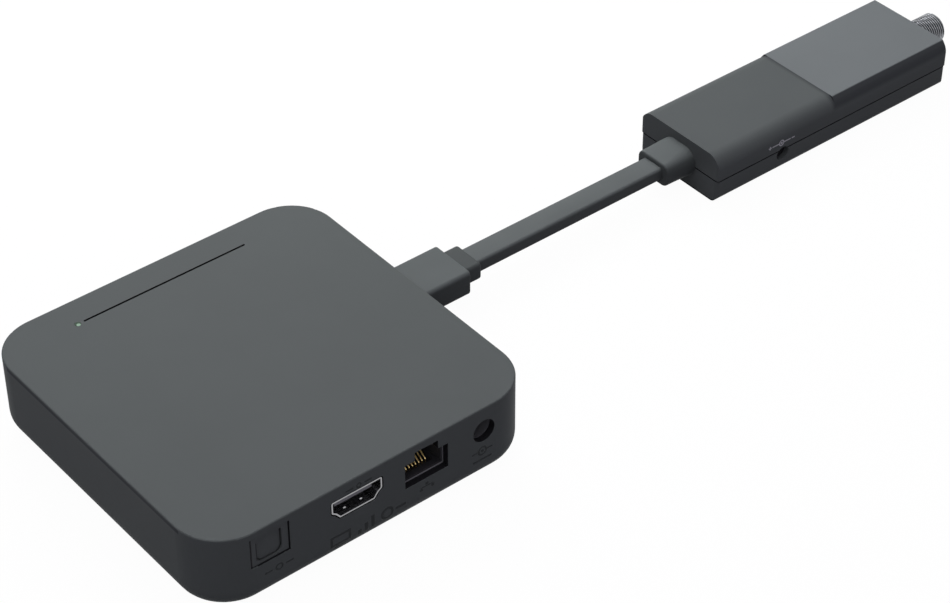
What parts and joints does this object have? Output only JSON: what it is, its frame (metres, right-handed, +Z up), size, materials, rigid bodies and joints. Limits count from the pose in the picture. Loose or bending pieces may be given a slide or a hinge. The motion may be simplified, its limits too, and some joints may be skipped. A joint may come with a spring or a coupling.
{
  "type": "streaming box",
  "caption": "Flat square streaming box with rear sockets and a light line, and a long tuner stick plugged into its side by a short flat cable.",
  "frame": {"origin": "on the surface the box stands on, under the middle of the box", "axes": "+Z up; -Y towards the side with the light line; +Y towards the row of sockets; -X towards the tuner stick"},
  "size_m": [0.3117, 0.1, 0.0238],
  "materials": {
    "housing_plastic": "fine satin texture",
    "stick_plastic": "fine satin texture",
    "panel_plastic": "satin, a little lighter than the shells",
    "foot_rubber": "soft and dull",
    "plug_rubber": "soft satin moulding",
    "cable_rubber": "smooth satin sheath",
    "screw_steel": "blackened",
    "board_laminate": "green solder mask",
    "chip_plastic": "moulded black",
    "pad_silicone": "soft grey pad",
    "sink_metal": "anodised",
    "coil_ferrite": "pressed ferrite",
    "can_metal": "bright cans",
    "sheet_metal": "tinned sheet",
    "socket_metal": "bright plated",
    "socket_plastic": "moulded black",
    "optical_plastic": "moulded black",
    "plug_plastic": "moulded white",
    "gold_contacts": "gold plated",
    "pin_metal": "bright plated",
    "coax_metal": "bright plated",
    "light_plastic": "clear, glowing green at its end",
    "light_chip": "small light",
    "wire_sheath": "thin wires"
  },
  "bodies": {
    "box": {"upper_shell": "housing_plastic", "bottom_cover": "housing_plastic", "foot_ring": "foot_rubber", "case_screws": "screw_steel", "main_board": "board_laminate", "board_screws": "screw_steel", "processor": "chip_plastic", "thermal_pad": "pad_silicone", "heat_sink": "sink_metal", "memory_chips": "chip_plastic", "storage_chip": "chip_plastic", "power_coils": "coil_ferrite", "capacitors": "can_metal", "clock_crystal": "can_metal", "network_transformer": "chip_plastic", "radio_module": "can_metal", "radio_antennas": "sheet_metal", "status_light": "light_chip", "light_pipe": "light_plastic", "screen_shell": "socket_metal", "screen_insulator": "socket_plastic", "screen_contacts": "gold_contacts", "lan_housing": "socket_plastic", "lan_contacts": "gold_contacts", "optical_housing": "optical_plastic", "optical_emitter": "socket_plastic", "shutter_pin": "screw_steel", "shutter_spring": "screw_steel", "dc_jack_housing": "socket_plastic", "dc_jack_pin": "pin_metal", "dc_jack_spring": "pin_metal", "side_socket_shell": "socket_metal", "side_socket_tongue": "socket_plastic", "side_socket_contacts": "gold_contacts"},
    "shutter": {"optical_shutter": "optical_plastic"},
    "tuner": {"tuner_upper_shell": "stick_plastic", "tuner_top_panel": "panel_plastic", "tuner_lower_shell": "stick_plastic", "tuner_board": "board_laminate", "tuner_shield_can": "sheet_metal", "demodulator_chip": "chip_plastic", "bridge_chip": "chip_plastic", "tuner_crystal": "can_metal", "tuner_coils": "coil_ferrite", "coax_barrel": "coax_metal", "coax_insulator": "plug_plastic", "coax_contact": "gold_contacts", "tuner_power_housing": "socket_plastic", "tuner_power_pin": "pin_metal", "tuner_power_spring": "pin_metal", "cable_wires": "wire_sheath", "cable_boot": "plug_rubber", "tuner_cable": "cable_rubber", "plug_overmould": "plug_rubber", "plug_shell": "socket_metal", "plug_tongue": "plug_plastic", "plug_contacts": "gold_contacts"}
  },
  "joints": [
    {"name": "plug_pull", "type": "slide", "parent": "box", "child": "tuner", "axis": [-1, 0, 0], "range_m": [0, 0.02]},
    {"name": "shutter_swing", "type": "hinge", "parent": "box", "child": "shutter", "pos_m": [0.0324, 0.04835, 0.02055], "axis": [-1, 0, 0], "range_deg": [0, 85], "stiffness_Nm_per_rad": 0.00002, "springref_deg": -28.65}
  ]
}
